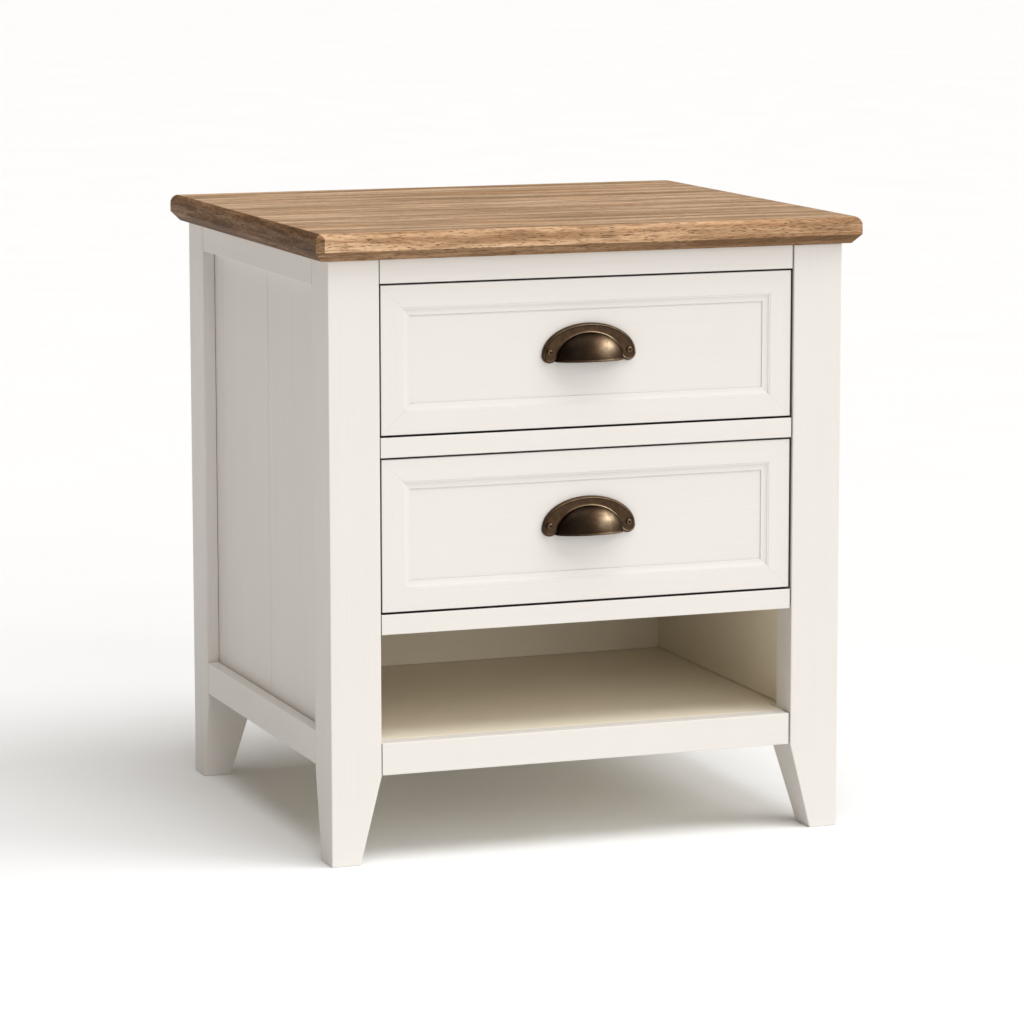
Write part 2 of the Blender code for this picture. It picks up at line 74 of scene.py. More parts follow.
# Edges and joints
EDGE = 0.8 * MM             # eased edge of a painted rail
POST_EDGE = 1.2 * MM
CRISP = 0.5 * MM            # edge of a panel or thin board
JOINT = 0.25 * MM           # half of the gap left at a painted joint
SLOT_PLAY = 0.6 * MM        # gap round a side panel, seen as a line
RAIL_JOINT = 0.8 * MM       # extra gap at each end of a front rail
SIDE_JOINT = 1.1 * MM       # the same for a side rail
SIDE_PROUD = 0.5 * MM       # brings the side rails nearly flush with the posts
GROOVE_EDGE = 0.25 * MM     # edges of the planks' grooves
FIELD_EDGE = 0.3 * MM       # edges of thin panels that sit in grooves
SEGMENTS = 4
FACING = 0.95               # share of a face's normal that makes it look along an axis

# Posts
TAPER_HEIGHT = 93 * MM
FOOT_WIDTH = 31.5 * MM
FOOT_DEPTH = 37 * MM
REBATE_DEPTH = 17 * MM
SLOT_REACH = 6 * MM         # of the side panel's groove into the post
GAP_SHADE_START = 0.8 * MM      # how far the plain paint goes into the gaps beside the drawers, before the painted shade

# Top: an arc above, a chamfer below, and mitred lippings round a veneered field
TOP_ARC_INSET = 5.7 * MM
TOP_ARC_DROP = 9.0 * MM
TOP_CHAMFER = (8.7 * MM, 9.9 * MM)      # inset and height
TOP_CORNER = 0.35 * MM                  # softness of the outline's corners
TOP_SPANS = 48                          # faces along each lipping
LIPPING = 6.5 * MM
END_GRAIN = 9.5 * MM                    # dark end of the left lipping, seen in front

# Front rails, and which of their lower (-1) and upper (1) faces look into a gap beside a drawer;
# these faces and the rails' ends get a near-black painted shade
FRONT_RAILS = {
    "front_top_rail": (-1,),
    "front_middle_rail": (-1, 1),
    "front_lower_rail": (1,),
    "shelf_front_rail": (),
}

# Side panels
PLANK_PITCH = 85 * MM
PLANK_GROOVES = {-2: 0.4 * MM, -1: 0.4 * MM, 0: 1.7 * MM, 1: 0.4 * MM, 2: 0.4 * MM}

# Drawer fronts: a flat, a bead, and a cove down to the panel; depths are from the flat
FRAME_FLAT = 23.5 * MM
FRAME_MOULDING = 8.4 * MM
FRAME_WIDTH = FRAME_FLAT + FRAME_MOULDING
FRAME_SOFT = 0.6 * MM       # rounded outer edge
BEAD = 1.7 * MM
BEAD_DEPTHS = (0.42 * MM, 0.52 * MM)
COVE_DEPTHS = (1.06 * MM, 2.0 * MM)
LIP_DROP = 0.45 * MM        # from the panel's face to the edge of the moulding above it
MITRE = 0.10 * MM

# Pulls
RIM_WIDTH = 3.2 * MM
RIM_CREST = 2.1 * MM                        # crest of the rim, in from the outline
BORDER = 1.6 * MM                           # height of the outline above the drawer
EAR_RADIUS = 8.6 * MM
EAR_X = 43.7 * MM
EAR_Z = 7.2 * MM
LOBE_DROP = EAR_RADIUS - EAR_Z              # ears below the lip
PLATE_RECESS = 1.1 * MM
PLATE = 4.9 * MM
CUP = (37.4 * MM, 19.5 * MM, 29.8 * MM)     # half width, depth and height
CUP_WALL = 1.6 * MM

PLATE_STEPS = (                             # rows of the plate, from the cup to the outline
    0.0, 0.03, 0.06, 0.10, 0.15, 0.22, 0.32, 0.42, 0.52, 0.60, 0.66,
    0.71, 0.75, 0.79, 0.83, 0.87, 0.90, 0.93, 0.96, 0.985, 1.0,
)
LOBE_STEPS = (1.0, 0.75, 0.5, 0.25)         # rows of an ear below the lip, as shares of its drop
CUP_TURNS = 40

# Screws
SCREW_DOME = 1.6 * MM
SCREW_TIP = 3 * MM

# Runners
CHANNEL_WALL = 1.1 * MM
CHANNEL_BEND = 2.4 * MM
CHANNEL_SLOTS = (-0.42, -0.22, 0.0, 0.22, 0.42)     # centres, as shares of the length
SLOT_HALF = (3 * MM, 6 * MM, 2.2 * MM)

# Studio: soft lights (azimuth, elevation, energy, spread), sky and the camera's place
SUNS = (
    ("front", 12, 20, 0.88, 45),
    ("right", 60, 42, 1.28, 35),
    ("top", 0, 75, 1.84, 45),
)
SKY = (1.13, 1.0, 0.845, 1.0)
SKY_STRENGTH = 0.220
LENS = 152.25
VIEW = (-20.08, 8.80)
VIEW_DISTANCE = 4.778
VIEW_OFFSET = Vector((5.9, -3.0, -8.8)) * MM
VIEW_ROLL = -0.0724


# ---------------------------------------------------------------- node helpers


class Nodes:
    """A short way to add and join shader nodes."""

    def __init__(self, name):
        self.material = bpy.data.materials.new(name)
        self.material.use_nodes = True
        self.tree = self.material.node_tree
        self.tree.nodes.clear()
        self.output = self.add("OutputMaterial")
        self.shader = self.add("BsdfPrincipled")
        self.join(self.shader.outputs["BSDF"], self.output.inputs["Surface"])

    def add(self, kind, **settings):
        node = self.tree.nodes.new("ShaderNode" + kind)
        for key, value in settings.items():
            setattr(node, key, value)
        return node

    def join(self, source, target):
        self.tree.links.new(source, target)

    def feed(self, node, **values):
        """Set sockets, by name, to constants or to other nodes' outputs."""
        for key, value in values.items():
            socket = node.inputs[key.replace("_", " ")]
            if isinstance(value, bpy.types.NodeSocket):
                self.join(value, socket)
            else:
                socket.default_value = value
        return node

    def grain(self, scale, attribute="grain"):
        """Coordinates along, across and through the board, stretched by a scale."""
        source = self.add("Attribute", attribute_name=attribute)
        mapping = self.add("Mapping")
        mapping.inputs["Scale"].default_value = scale
        self.join(source.outputs["Vector"], mapping.inputs["Vector"])
        return mapping.outputs["Vector"]

    def place(self, scale=(1, 1, 1)):
        """The piece's own coordinates, in metres, stretched by a scale."""
        source = self.add("TexCoord")
        mapping = self.add("Mapping")
        mapping.inputs["Scale"].default_value = scale
        self.join(source.outputs["Object"], mapping.inputs["Vector"])
        return mapping.outputs["Vector"]

    def noise(self, vector, scale=1.0, detail=3.0, roughness=0.5, distortion=0.0):
        node = self.add("TexNoise")
        self.feed(node, Vector=vector, Scale=scale, Detail=detail, Roughness=roughness)
        self.feed(node, Distortion=distortion)
        return node.outputs["Fac"]

    def spread(self, value, low, high, to_low=0.0, to_high=1.0):
        """Map a range of values onto another, without overshoot."""
        node = self.add("MapRange")
        node.inputs["From Min"].default_value = low
        node.inputs["From Max"].default_value = high
        node.inputs["To Min"].default_value = to_low
        node.inputs["To Max"].default_value = to_high
        self.join(value, node.inputs["Value"])
        return node.outputs["Result"]

    def math(self, operation, a, b=0.0):
        node = self.add("Math", operation=operation)
        for socket, value in zip(node.inputs, (a, b)):
            if isinstance(value, bpy.types.NodeSocket):
                self.join(value, socket)
            else:
                socket.default_value = value
        return node.outputs["Value"]

    def mix(self, factor, a, b, blend="MIX"):
        node = self.add("Mix", data_type="RGBA", blend_type=blend)
        for index, value in ((0, factor), (6, a), (7, b)):
            if isinstance(value, bpy.types.NodeSocket):
                self.join(value, node.inputs[index])
            elif index:
                node.inputs[index].default_value = (*value, 1.0)
            else:
                node.inputs[index].default_value = value
        return node.outputs[2]

    def ramp(self, value, *stops):
        node = self.add("ValToRGB")
        elements = node.color_ramp.elements
        while len(elements) < len(stops):
            elements.new(0.5)
        for element, (position, colour) in zip(elements, stops):
            element.position = position
            element.color = (*colour, 1.0)
        self.join(value, node.inputs["Fac"])
        return node.outputs["Color"]

    def bump(self, height, distance, strength=1.0, below=None):
        node = self.add("Bump")
        self.feed(node, Height=height, Distance=distance, Strength=strength)
        if below is not None:
            self.join(below, node.inputs["Normal"])
        return node.outputs["Normal"]

    def finish(self, **values):
        self.feed(self.shader, **values)
        return self.material


# ---------------------------------------------------------------- materials


def paint(name, base, shade, warm):
    """Satin paint over wood: brush streaks along the grain and a very faint mottle."""
    n = Nodes(name)
    streak = n.noise(n.grain((6, 420, 420)), 1.0, 5.0, 0.6)
    brush = n.noise(n.grain((14, 1500, 1500)), 1.0, 3.0, 0.6)
    cloud = n.noise(n.place(), 9.0, 3.0, 0.55)
    patch = n.noise(n.grain((3, 40, 40)), 1.0, 3.0, 0.5, 0.6)
    tone = n.mix(n.spread(streak, 0.34, 0.70), shade, base)
    tone = n.mix(n.spread(cloud, 0.35, 0.70, 0.0, 0.55), tone, warm)
    tone = n.mix(n.spread(patch, 0.52, 0.78, 0.0, 0.35), tone, shade)
    relief = n.math("ADD", streak, n.math("MULTIPLY", brush, 0.5))
    rough = n.spread(streak, 0.3, 0.7, 0.46, 0.36)
    normal = n.bump(relief, 0.00006, 0.5)
    return n.finish(Base_Color=tone, Roughness=rough, Normal=normal, Specular_IOR_Level=0.25)


def oak(name, light, middle, dark, pore, flecks):
    """Brushed brown oak: soft bands, wavy streaks, open pores and short dark flecks."""
    n = Nodes(name)
    source = n.add("Attribute", attribute_name="grain")

    def stretch(vector, scale):
        mapping = n.add("Mapping")
        mapping.inputs["Scale"].default_value = scale
        n.join(vector, mapping.inputs["Vector"])
        return mapping.outputs["Vector"]

    def bent(vector, scale, reach):
        """Push the coordinates sideways, so that the lines of the grain wander."""
        wander = n.noise(stretch(vector, scale), 1.0, 2.0, 0.55)
        shift = n.add("CombineXYZ")
        n.join(n.math("MULTIPLY", n.math("SUBTRACT", wander, 0.5), reach), shift.inputs["Y"])
        total = n.add("VectorMath", operation="ADD")
        n.join(vector, total.inputs[0])
        n.join(shift.outputs["Vector"], total.inputs[1])
        return total.outputs["Vector"]

    grain = bent(source.outputs["Vector"], (6, 18, 18), 0.014)
    grain = bent(grain, (45, 130, 130), 0.0022)
    bands = n.noise(stretch(grain, (2.2, 48, 48)), 1.0, 5.0, 0.62)
    streaks = n.noise(stretch(grain, (11, 230, 230)), 1.0, 4.0, 0.66)
    fibres = n.noise(stretch(grain, (50, 1500, 1500)), 1.0, 3.0, 0.6)
    pores = n.noise(stretch(grain, (110, 1250, 1250)), 1.0, 2.0, 0.5)
    blush = n.noise(stretch(grain, (7, 22, 22)), 1.0, 2.0, 0.5)
    tone = n.ramp(bands, (0.39, dark), (0.49, middle), (0.59, light))
    tone = n.mix(n.spread(streaks, 0.48, 0.60, 0.0, 0.80), tone, dark)
    tone = n.mix(n.spread(streaks, 0.44, 0.32, 0.0, 0.45), tone, light)
    tone = n.mix(n.spread(fibres, 0.42, 0.68, 0.0, 0.45), tone, middle)
    warm = [min(value * scale, 1.0) for value, scale in zip(middle, (1.22, 0.97, 0.74))]
    tone = n.mix(n.spread(blush, 0.55, 0.72, 0.0, 0.38), tone, warm)
    dashes = n.spread(pores, flecks, flecks + 0.06)
    tone = n.mix(n.math("MULTIPLY", dashes, 0.80), tone, pore)
    relief = n.math("SUBTRACT", n.math("MULTIPLY", streaks, -0.8), dashes)
    relief = n.math("ADD", relief, n.math("MULTIPLY", fibres, 0.3))
    rough = n.spread(streaks, 0.3, 0.7, 0.52, 0.66)
    normal = n.bump(relief, 0.00030, 0.7)
    return n.finish(Base_Color=tone, Roughness=rough, Normal=normal, Specular_IOR_Level=0.12)


def bronze():
    """Antique bronze: a dark patina, with a warm shine set by a point attribute that holds both
    polish from hands and painted highlights.
    """
    n = Nodes("antique_bronze")
    wear_and_highlight = n.add("Attribute", attribute_name="wear_and_highlight").outputs["Fac"]
    fine = n.noise(n.place(), 900.0, 4.0, 0.6)
    cloud = n.noise(n.place(), 150.0, 3.0, 0.6)
    scratch = n.noise(n.place((260, 260, 1900)), 1.0, 2.0, 0.6)
    wear_with_highlight = n.math("MULTIPLY", wear_and_highlight, n.spread(cloud, 0.3, 0.7, 0.72, 1.2))
    wear_with_highlight = n.spread(wear_with_highlight, 0.0, 1.0)
    patina, brown, shine = (0.007, 0.005, 0.0035), (0.088, 0.054, 0.031), (0.52, 0.395, 0.260)
    tone = n.ramp(wear_with_highlight, (0.0, patina), (0.16, brown), (1.0, shine))
    tone = n.mix(n.spread(fine, 0.48, 0.72, 0.0, 0.30), tone, (0.006, 0.004, 0.003))
    rough = n.math("ADD", n.spread(wear_with_highlight, 0.0, 1.0, 0.44, 0.30), n.spread(fine, 0.3, 0.7, -0.04, 0.06))
    relief = n.math("ADD", fine, n.math("MULTIPLY", scratch, 0.5))
    normal = n.bump(relief, 0.00003, 0.35)
    return n.finish(Base_Color=tone, Roughness=rough, Metallic=1.0, Normal=normal)


def birch():
    """Bare sanded birch for the drawer boxes."""
    n = Nodes("bare_birch")
    bands = n.noise(n.grain((3, 60, 60)), 1.0, 4.0, 0.55, 0.6)
    streaks = n.noise(n.grain((18, 700, 700)), 1.0, 3.0, 0.6)
    flecks = n.noise(n.grain((160, 1500, 1500)), 1.0, 1.0, 0.5)
    dark, middle, light = (0.62, 0.43, 0.25), (0.73, 0.55, 0.35), (0.80, 0.64, 0.44)
    tone = n.ramp(bands, (0.32, dark), (0.50, middle), (0.68, light))
    tone = n.mix(n.spread(streaks, 0.45, 0.75, 0.0, 0.35), tone, (0.56, 0.38, 0.22))
    tone = n.mix(n.spread(flecks, 0.66, 0.74, 0.0, 0.5), tone, (0.42, 0.27, 0.15))
    normal = n.bump(streaks, 0.00008, 0.4)
    return n.finish(Base_Color=tone, Roughness=0.55, Normal=normal, IOR=1.45)


def zinc():
    """Bright zinc plate with fine rolling lines along the runner."""
    n = Nodes("zinc_plate")
    lines = n.noise(n.place((1500, 12, 2200)), 1.0, 3.0, 0.6)
    bloom = n.noise(n.place(), 120.0, 3.0, 0.6)
    tone = n.mix(n.spread(bloom, 0.35, 0.65), (0.50, 0.52, 0.54), (0.66, 0.67, 0.68))
    rough = n.spread(lines, 0.3, 0.7, 0.26, 0.40)
    normal = n.bump(lines, 0.00003, 0.4)
    return n.finish(Base_Color=tone, Roughness=rough, Metallic=1.0, Normal=normal)


def floor_finish():
    """Matt pale studio floor with hardly visible clouds."""
    n = Nodes("studio_floor")
    dust = n.noise(n.place(), 3.0, 3.0, 0.5)
    tone = n.mix(n.spread(dust, 0.3, 0.7), (0.872, 0.885, 0.899), (0.887, 0.900, 0.914))
    return n.finish(Base_Color=tone, Roughness=0.85)


PAINT = paint("satin_paint", (0.730, 0.704, 0.671), (0.712, 0.684, 0.648), (0.736, 0.706, 0.676))
# Painted light: a warmer, brighter copy of the satin paint for the open shelf's inside, standing for
# the warm light bounced round it
SHELF_BOUNCE_PAINT = paint("shelf_paint_with_painted_bounce_light", (0.865, 0.795, 0.660), (0.845, 0.775, 0.640), (0.875, 0.80, 0.665))
# Painted shade: a dark brown tone for the faces in the narrow gaps beside the drawers, standing for
# the shadow there
GAP_SHADE_EDGE = paint("gap_painted_shade_edge", (0.34, 0.285, 0.225), (0.29, 0.240, 0.185), (0.36, 0.295, 0.230))
# Painted shade: near-black, for the shadow in the narrow gaps at the front rails' faces and ends
RAIL_GAP_SHADE = paint("rail_gap_painted_shade", (0.060, 0.052, 0.044), (0.050, 0.044, 0.038), (0.064, 0.055, 0.046))
OAK_FIELD = oak(
    "oak_field", light=(0.68, 0.485, 0.325), middle=(0.475, 0.315, 0.195),
    dark=(0.26, 0.157, 0.086), pore=(0.12, 0.068, 0.036), flecks=0.60,
)
OAK_EDGE = oak(
    "oak_edge", light=(0.72, 0.480, 0.295), middle=(0.55, 0.345, 0.195),
    dark=(0.28, 0.150, 0.072), pore=(0.09, 0.050, 0.026), flecks=0.58,
)
OAK_SIDE = oak(
    "oak_side", light=(0.31, 0.180, 0.095), middle=(0.205, 0.112, 0.055),
    dark=(0.090, 0.045, 0.020), pore=(0.040, 0.022, 0.011), flecks=0.54,
)
# Painted shade: a darker copy of the edge oak for the downward-facing chamfer of the front and back
# lippings
OAK_CHAMFER_SHADE = oak(
    "oak_chamfer_painted_shade", light=(0.37, 0.225, 0.122), middle=(0.27, 0.155, 0.080),
    dark=(0.150, 0.078, 0.035), pore=(0.07, 0.040, 0.020), flecks=0.57,
)
BRONZE = bronze()
BIRCH = birch()
ZINC = zinc()


# ---------------------------------------------------------------- mesh helpers


dice = random.Random(7)


def smooth_step(low, high, value):
    t = min(max((value - low) / (high - low), 0.0), 1.0)
    return t * t * (3 - 2 * t)


def link(name, mesh):
    obj = bpy.data.objects.new(name, mesh)
    bpy.context.scene.collection.objects.link(obj)
    return obj


def mesh_from(bm, name):
    bmesh.ops.recalc_face_normals(bm, faces=bm.faces)
    mesh = bpy.data.meshes.new(name)
    bm.to_mesh(mesh)
    bm.free()
    return mesh


def add_block(bm, low, high):
    """Add a box between two corners to a bmesh."""
    low, high = Vector(low), Vector(high)
    verts = bmesh.ops.create_cube(bm, size=1.0)["verts"]
    bmesh.ops.scale(bm, vec=high - low, verts=verts)
    bmesh.ops.translate(bm, vec=(low + high) / 2, verts=verts)
    return verts


def block(name, low, high):
    bm = bmesh.new()
    add_block(bm, low, high)
    return link(name, mesh_from(bm, name))


def span(side, near, far):
    """The two limits of a stretch on the left (-1) or right (+1) side, in rising order."""
    return tuple(sorted((side * near, side * far)))


def ease(obj, width, segments=SEGMENTS):
    modifier = obj.modifiers.new("edge", "BEVEL")
    modifier.width = width
    modifier.segments = segments
    modifier.limit_method = "ANGLE"
    modifier.angle_limit = math.radians(28)


def carve(obj, *tools):
    """Subtract tool objects, each in turn."""
    for tool in tools:
        modifier = obj.modifiers.new(tool.name, "BOOLEAN")
        modifier.operation = "DIFFERENCE"
        modifier.solver = "EXACT"
        modifier.object = tool


def settle(obj, *spent):
    """Freeze the modifiers into the mesh and drop the tools that they used."""
    depsgraph = bpy.context.evaluated_depsgraph_get()
    mesh = bpy.data.meshes.new_from_object(obj.evaluated_get(depsgraph))
    obj.modifiers.clear()
    obj.data = mesh
    mesh.name = obj.name
    for tool in spent:
        bpy.data.objects.remove(tool, do_unlink=True)
    return obj


def set_grain(obj, axis):
    """Write the board's own coordinates, with the one along the wood first."""
    order = {"X": (0, 1, 2), "Y": (1, 0, 2), "Z": (2, 0, 1)}[axis]
    shift = [dice.uniform(-5, 5) for _ in range(3)]
    layer = obj.data.attributes.new("grain", "FLOAT_VECTOR", "POINT")
    for item, vert in zip(layer.data, obj.data.vertices):
        item.vector = [vert.co[i] + shift[k] for k, i in enumerate(order)]


def shade(obj, angle=40):
    """Smooth shading whose flat faces stay flat."""
    obj.data.shade_smooth()
    obj.data.set_sharp_from_angle(angle=math.radians(angle))
    modifier = obj.modifiers.new("flat faces", "WEIGHTED_NORMAL")
    modifier.keep_sharp = True
    modifier.weight = 80


def darken(obj, hidden):
    """Give the second slot, a painted shade for the gaps, to the large faces that a test picks."""
    for face in obj.data.polygons:
        if face.area > 4 * MM * MM and hidden(face):
            face.material_index = 1


BODIES = frame["record"]["behaviour"]["bodies"]
BODY_OF = {node: body for body, nodes in BODIES.items() for node in nodes}


def stand_in(obj, node, *materials):
    """Dress a finished piece and let it stand for a CAD node, on the same body."""
    slots = obj.data.materials
    while len(slots) < len(materials):
        slots.append(None)
    for index, material in enumerate(materials):
        slots[index] = material
    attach(obj, BODY_OF[node])
    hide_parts(node)
    return obj


def board(node, axis, material, width=EDGE, grow=(0, 0, 0), tools=(), low=None, high=None):
    """Stand in for a CAD board: the same box with eased edges and grain along one axis."""
    box_low, box_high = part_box(node)
    low = Vector(low or box_low) - Vector(grow)
    high = Vector(high or box_high) + Vector(grow)
    obj = block(f"{node}_board", low, high)
    carve(obj, *tools)
    ease(obj, width)
    settle(obj, *tools)
    set_grain(obj, axis)
    shade(obj)
    return stand_in(obj, node, material)


# ---------------------------------------------------------------- top


def top_outline(low, high):
    """Section of the top's edge: (inset, height) from the underside up to the flat field."""
    turn = 2 * math.atan(TOP_ARC_INSET / TOP_ARC_DROP)
    radius = TOP_ARC_DROP / math.sin(turn)
    points = [(TOP_CHAMFER[0], low), (0.0, low + TOP_CHAMFER[1])]
    start = high - TOP_ARC_DROP
    steps = 8
    for step in range(steps + 1):
        angle = turn * step / steps
        points.append((radius * (1 - math.cos(angle)), start + radius * math.sin(angle)))
    return points


def end_grain_width(inset, z, low, high):
    """How far the dark end of the left lipping shows in front, at a point of the outline."""
    if z > high - TOP_ARC_DROP:
        share = 1 - smooth_step(0.0, 1.0, inset / TOP_ARC_INSET)
    else:
        share = smooth_step(0.0, 1.0, (z - low) / TOP_CHAMFER[1])
    return 0.2 * MM + share * END_GRAIN


def make_top():
    """Field, and four lippings that meet in mitres; a mitre's verts are not shared."""
    low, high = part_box("top")
    outline = round_corners(top_outline(low.z, high.z), TOP_CORNER)
    bm = bmesh.new()
    grain = bm.verts.layers.float_vector.new("grain")
    shifts = [Vector([dice.uniform(-5, 5) for _ in range(3)]) for _ in range(5)]

    def vert(x, y, z, piece):
        made = bm.verts.new((x, y, z))
        along = (x, y, z) if piece in (0, 2, 4) else (y, x, z)
        made[grain] = Vector(along) + shifts[piece]
        return made

    half_x, half_y = high.x, high.y
    corners = ((-1, -1), (1, -1), (1, 1), (-1, 1))
    for piece in range(4):
        first, second = corners[piece], corners[(piece + 1) % 4]
        rows = []
        for inset, z in outline + [(LIPPING, high.z)]:
            row = []
            length = 2 * ((half_y if piece % 2 else half_x) - inset)
            for step in range(TOP_SPANS + 1):
                t = step / TOP_SPANS
                if piece == 0 and step == 1:
                    t = end_grain_width(inset, z, low.z, high.z) / length
                a = ((half_x - inset) * first[0], (half_y - inset) * first[1])
                b = ((half_x - inset) * second[0], (half_y - inset) * second[1])
                row.append(vert(a[0] + (b[0] - a[0]) * t, a[1] + (b[1] - a[1]) * t, z, piece))
            rows.append(row)
        for below, above in zip(rows, rows[1:]):
            for i in range(TOP_SPANS):
                face = bm.faces.new((below[i], below[i + 1], above[i + 1], above[i]))
                end_grain = piece == 0 and i == 0
                # The chamfer row of the front and back lippings gets the darker oak, a painted shade
                if below is rows[0] and not piece % 2:
                    face.material_index = 3
                else:
                    face.material_index = 2 if piece % 2 or end_grain else 1
    for z, inset, flip in ((high.z, LIPPING, False), (low.z, outline[0][0], True)):
        ring = [vert((half_x - inset) * x, (half_y - inset) * y, z, 4) for x, y in corners]
        bm.faces.new(reversed(ring) if flip else ring)
    mesh = bpy.data.meshes.new("oak_top")
    bm.to_mesh(mesh)
    bm.free()
    obj = link("oak_top", mesh)
    shade(obj, 24)
    return stand_in(obj, "top", OAK_FIELD, OAK_EDGE, OAK_SIDE, OAK_CHAMFER_SHADE)


def round_corners(points, radius):
    """Replace each inner corner of an open outline by a short curve."""
    made = [points[0]]
    for before, here, after in zip(points, points[1:], points[2:]):
        a, b, c = Vector(before), Vector(here), Vector(after)
        into, out = (b - a), (c - b)
        if into.angle(out) < math.radians(12):
            made.append(here)
            continue
        cut = min(radius, into.length / 3, out.length / 3)
        start, end = b - into.normalized() * cut, b + out.normalized() * cut
        for step in range(5):
            t = step / 4
            point = start * (1 - t) ** 2 + b * 2 * t * (1 - t) + end * t ** 2
            made.append((point.x, point.y))
    return made + [points[-1]]


# ---------------------------------------------------------------- carcass


def make_post(node, side, end):
    """A square post with soft edges, a tapered foot and, in front, the rebate for the inner wall."""
    low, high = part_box(node)
    outer = Vector((side * max(abs(low.x), abs(high.x)), end * max(abs(low.y), abs(high.y)), 0))
    size = high.x - low.x
    bm = bmesh.new()
    add_block(bm, low, high)
    drawers_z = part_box("front_lower_rail")[1].z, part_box("front_top_rail")[0].z
    gap_shade_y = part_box("upper_front_top")[0].y + GAP_SHADE_START
    cuts = [((0, 0, TAPER_HEIGHT), (0, 0, 1))]
    if end < 0:
        cuts += [((0, 0, z), (0, 0, 1)) for z in drawers_z]
        cuts.append(((0, gap_shade_y, 0), (0, 1, 0)))
    for place, normal in cuts:
        everything = bm.verts[:] + bm.edges[:] + bm.faces[:]
        bmesh.ops.bisect_plane(bm, geom=everything, plane_co=place, plane_no=normal)
    for vert in bm.verts:
        if vert.co.z > TAPER_HEIGHT / 2:
            continue
        if abs(vert.co.x - outer.x) > size / 2:
            vert.co.x = outer.x - side * FOOT_WIDTH
        if abs(vert.co.y - outer.y) > size / 2:
            vert.co.y = outer.y - end * FOOT_DEPTH
    obj = link(f"{node}_wood", mesh_from(bm, node))
    ease(obj, POST_EDGE, 5)
    settle(obj)
    tools = []
    panel_low, panel_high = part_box("right_side_panel" if side > 0 else "left_side_panel")
    inner_y = end * (abs(outer.y) - size)
    slot_low = (panel_low.x - SLOT_PLAY, inner_y - SLOT_REACH, panel_low.z)
    slot_high = (panel_high.x + SLOT_PLAY, inner_y + SLOT_REACH, panel_high.z)
    tools.append(block(f"{node}_slot", slot_low, slot_high))
    if end < 0:
        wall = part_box("right_shelf_wall")
        inner_x = abs(outer.x) - size
        rebate_x = span(side, inner_x - 5 * MM, wall[1].x + JOINT)
        front = wall[0].y - 0.3 * MM
        rebate_low = (rebate_x[0], front, wall[0].z)
        rebate_high = (rebate_x[1], front + 2 * REBATE_DEPTH, 1)
        tools.append(block(f"{node}_rebate", rebate_low, rebate_high))
    carve(obj, *tools)
    settle(obj, *tools)
    set_grain(obj, "Z")
    shade(obj)
    if end > 0:
        return stand_in(obj, node, PAINT)

    # Painted shade: the front post's inner faces beside the drawers, behind a strip of plain paint,
    # get the dark gap tone
    def in_gap(face):
        beside_drawers = drawers_z[0] < face.center.z < drawers_z[1] and face.center.y > gap_shade_y
        return face.normal.x * side < -FACING and beside_drawers

    darken(obj, in_gap)
    return stand_in(obj, node, PAINT, GAP_SHADE_EDGE)


def make_side(word, side):
    """Rails with a groove each, and a panel of V-jointed planks."""
    panel_low, panel_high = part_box(f"{word}_side_panel")
    for name in ("side_top_rail", "side_lower_rail"):
        node = f"{word}_{name}"
        tool_low = (panel_low.x - SLOT_PLAY, -1, panel_low.z - JOINT)
        tool_high = (panel_high.x + SLOT_PLAY, 1, panel_high.z + JOINT)
        tool = block(f"{node}_slot", tool_low, tool_high)
        low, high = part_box(node)
        low.x, high.x = (low.x - SIDE_PROUD, high.x) if side < 0 else (low.x, high.x + SIDE_PROUD)
        board(node, "Y", PAINT, EDGE, (0, -SIDE_JOINT, 0), [tool], low, high)
    node = f"{word}_side_panel"
    face = side * max(abs(panel_low.x), abs(panel_high.x))
    bm = bmesh.new()
    for step, depth in PLANK_GROOVES.items():
        bar = depth * math.sqrt(2)
        verts = add_block(bm, (-bar / 2, -bar / 2, -1), (bar / 2, bar / 2, 1))
        bmesh.ops.rotate(bm, verts=verts, matrix=Matrix.Rotation(math.radians(45), 3, "Z"))
        bmesh.ops.translate(bm, verts=verts, vec=(face, step * PLANK_PITCH, 0))
    grooves = link(f"{node}_grooves", mesh_from(bm, node))
    obj = block(f"{node}_planks", panel_low, panel_high)
    carve(obj, grooves)
    ease(obj, GROOVE_EDGE, 2)
    settle(obj, grooves)
    set_grain(obj, "Z")
    shade(obj)
    stand_in(obj, node, PAINT)


def make_rail(node, hidden):
    """A front rail; its ends and its faces in the gaps round the drawers get a near-black painted
    shade, for the shadow in those gaps.
    """
    rail = board(node, "X", PAINT, EDGE, (-RAIL_JOINT, 0, 0))
    rail.data.materials.append(RAIL_GAP_SHADE)

    def gap_shaded(face):
        return abs(face.normal.x) > FACING or any(face.normal.z * way > FACING for way in hidden)

    darken(rail, gap_shaded)


def make_carcass():
    make_top()
    for end_word, end in ENDS:
        for word, side in SIDES:
            make_post(f"post_{end_word}_{word}", side, end)
    for node, hidden in FRONT_RAILS.items():
        make_rail(node, hidden)
    for word, side in SIDES:
        make_side(word, side)
        board(f"{word}_shelf_wall", "Y", SHELF_BOUNCE_PAINT, CRISP)
        board(f"{word}_runner_board", "Y", BIRCH, CRISP)
    board("shelf_ceiling", "X", SHELF_BOUNCE_PAINT, CRISP, tools=notches("shelf_ceiling"))
    board("shelf", "X", SHELF_BOUNCE_PAINT, CRISP, tools=notches("shelf"))
    board("shelf_back", "X", SHELF_BOUNCE_PAINT, CRISP)
    board("rear_panel", "X", PAINT, CRISP)


